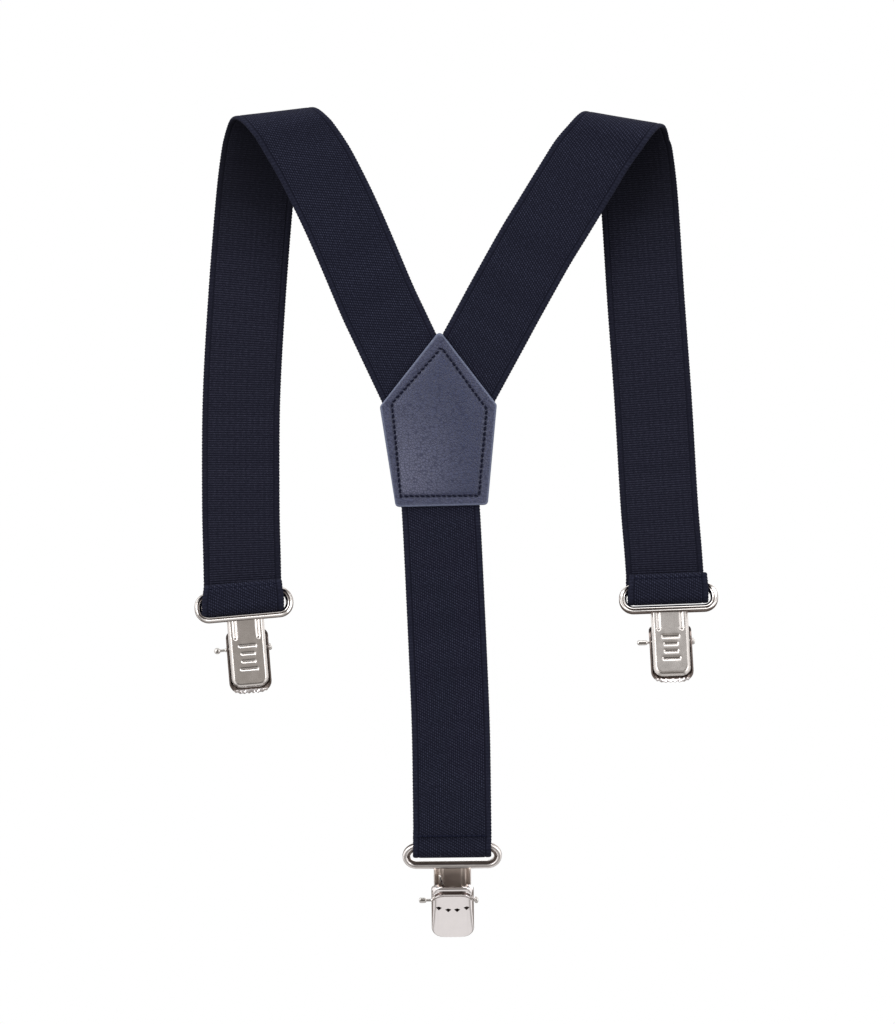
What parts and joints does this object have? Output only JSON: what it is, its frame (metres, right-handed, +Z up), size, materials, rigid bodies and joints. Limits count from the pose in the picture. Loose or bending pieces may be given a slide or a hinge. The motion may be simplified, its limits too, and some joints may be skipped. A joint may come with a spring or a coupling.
{
  "type": "suspenders",
  "caption": "Child-size Y-back suspenders with elastic webbing straps, a stitched leather cross patch and sprung metal clips that swing on the folded strap ends",
  "frame": {"origin": "midway between the two shoulder folds, on the shoulders that hold the part up", "axes": "+X to the wearer's right-hand side as seen from behind, +Y from the back straps to the front straps, +Z up"},
  "size_m": [0.1681, 0.0178, 0.2673],
  "materials": {
    "webbing": "dark navy woven elastic webbing",
    "leather": "semi-gloss navy leather",
    "thread": "dark navy sewing thread",
    "nickel": "bright nickel plating",
    "steel": "plain steel wire"
  },
  "bodies": {
    "yoke": {"leather_patch_front": "leather", "leather_patch_back": "leather", "patch_stitching": "thread", "left_back_webbing": "webbing", "right_back_webbing": "webbing", "back_webbing_anchor": "webbing"},
    "left_strap": {"left_front_webbing": "webbing"},
    "left_strap_end": {"left_end_loop": "webbing", "left_hem_stitching": "thread"},
    "left_clip": {"left_clip_frame": "nickel", "left_clip_pin": "steel", "left_clip_spring": "steel"},
    "left_jaw": {"left_clip_jaw": "nickel"},
    "right_strap": {"right_front_webbing": "webbing"},
    "right_strap_end": {"right_end_loop": "webbing", "right_hem_stitching": "thread"},
    "right_clip": {"right_clip_frame": "nickel", "right_clip_pin": "steel", "right_clip_spring": "steel"},
    "right_jaw": {"right_clip_jaw": "nickel"},
    "back_strap": {"back_webbing": "webbing"},
    "back_strap_end": {"back_end_loop": "webbing", "back_hem_stitching": "thread"},
    "back_clip": {"back_clip_frame": "nickel", "back_clip_pin": "steel", "back_clip_spring": "steel"},
    "back_jaw": {"back_clip_jaw": "nickel"}
  },
  "joints": [
    {"name": "left_strap_swing", "type": "hinge", "parent": "yoke", "child": "left_strap", "pos_m": [-0.0598, 0.006, -0.0004], "axis": [1, 0, 0], "range_deg": [-15, 60]},
    {"name": "left_strap_stretch", "type": "slide", "parent": "left_strap", "child": "left_strap_end", "axis": [0, 0, -1], "range_m": [0, 0.05], "stiffness_N_per_m": 150, "springref_m": -0.005},
    {"name": "left_clip_swing", "type": "hinge", "parent": "left_strap_end", "child": "left_clip", "pos_m": [-0.0665, 0.00395, -0.1468], "axis": [0.9962, 0, 0.0872], "range_deg": [-75, 75]},
    {"name": "left_jaw_open", "type": "hinge", "parent": "left_clip", "child": "left_jaw", "pos_m": [-0.06496, 0.00551, -0.16444], "axis": [0.9962, 0, 0.0872], "range_deg": [0, 32], "stiffness_Nm_per_rad": 0.02, "springref_deg": -34.38, "deforming": ["left_clip_spring"]},
    {"name": "right_strap_swing", "type": "hinge", "parent": "yoke", "child": "right_strap", "pos_m": [0.0582, 0.006, -0.0023], "axis": [1, 0, 0], "range_deg": [-15, 60]},
    {"name": "right_strap_stretch", "type": "slide", "parent": "right_strap", "child": "right_strap_end", "axis": [0.0671, 0, -0.9977], "range_m": [0, 0.05], "stiffness_N_per_m": 150, "springref_m": -0.005},
    {"name": "right_clip_swing", "type": "hinge", "parent": "right_strap_end", "child": "right_clip", "pos_m": [0.0701, 0.00395, -0.1448], "axis": [0.9994, 0, 0.0349], "range_deg": [-75, 75]},
    {"name": "right_jaw_open", "type": "hinge", "parent": "right_clip", "child": "right_jaw", "pos_m": [0.07071, 0.00012, -0.16214], "axis": [0.9994, 0, 0.0349], "range_deg": [0, 32], "stiffness_Nm_per_rad": 0.02, "springref_deg": -34.38, "deforming": ["right_clip_spring"]},
    {"name": "back_strap_swing", "type": "hinge", "parent": "yoke", "child": "back_strap", "pos_m": [-0.0029, -0.006, -0.1202], "axis": [1, 0, 0], "range_deg": [-60, 60]},
    {"name": "back_strap_stretch", "type": "slide", "parent": "back_strap", "child": "back_strap_end", "axis": [0.0273, 0, -0.9996], "range_m": [0, 0.05], "stiffness_N_per_m": 150, "springref_m": -0.005},
    {"name": "back_clip_swing", "type": "hinge", "parent": "back_strap_end", "child": "back_clip", "pos_m": [0.0007, -0.00395, -0.2276], "axis": [-0.9999, 0, -0.0105], "range_deg": [-75, 75]},
    {"name": "back_jaw_open", "type": "hinge", "parent": "back_clip", "child": "back_jaw", "pos_m": [0.00088, 0.00003, -0.24492], "axis": [-0.9999, 0, -0.0105], "range_deg": [0, 32], "stiffness_Nm_per_rad": 0.02, "springref_deg": -34.38, "deforming": ["back_clip_spring"]}
  ]
}
